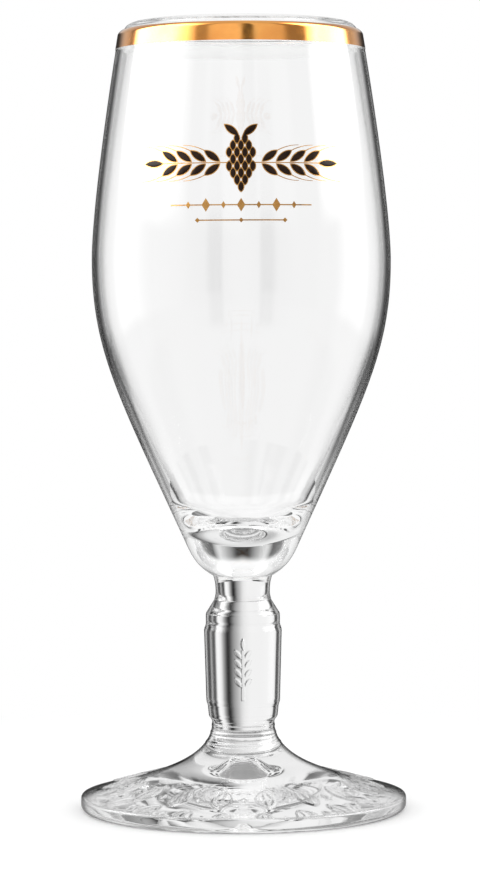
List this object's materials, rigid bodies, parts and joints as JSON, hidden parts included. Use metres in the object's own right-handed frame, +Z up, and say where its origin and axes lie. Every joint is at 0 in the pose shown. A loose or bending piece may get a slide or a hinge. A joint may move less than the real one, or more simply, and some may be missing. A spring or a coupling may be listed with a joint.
{
  "type": "stemmed beer glass",
  "caption": "Tall tulip-shaped beer glass on a short stepped stem and a round foot, with a gilded band under its in-turned lip and an enamel ornament on the front.",
  "frame": {"origin": "on the table, in the middle of the ring that the foot stands on", "axes": "+Z up the glass's axis, -Y towards the front with the ornament, +X to the viewer's right"},
  "size_m": [0.08, 0.08, 0.1924],
  "materials": {
    "clear_glass": "clear, fire-polished soda-lime glass",
    "bright_gold": "bright burnished gilding",
    "white_enamel": "glossy fired white ground",
    "dark_enamel": "satin fired enamel, near black with a brown tone",
    "printed_gold": "satin printed gold"
  },
  "bodies": {
    "root": {"foot": "clear_glass", "stem": "clear_glass", "bowl": "clear_glass", "rim_band_ground": "white_enamel", "rim_band_gilding": "bright_gold", "ornament_dark": "dark_enamel", "ornament_gold": "printed_gold"}
  },
  "joints": []
}
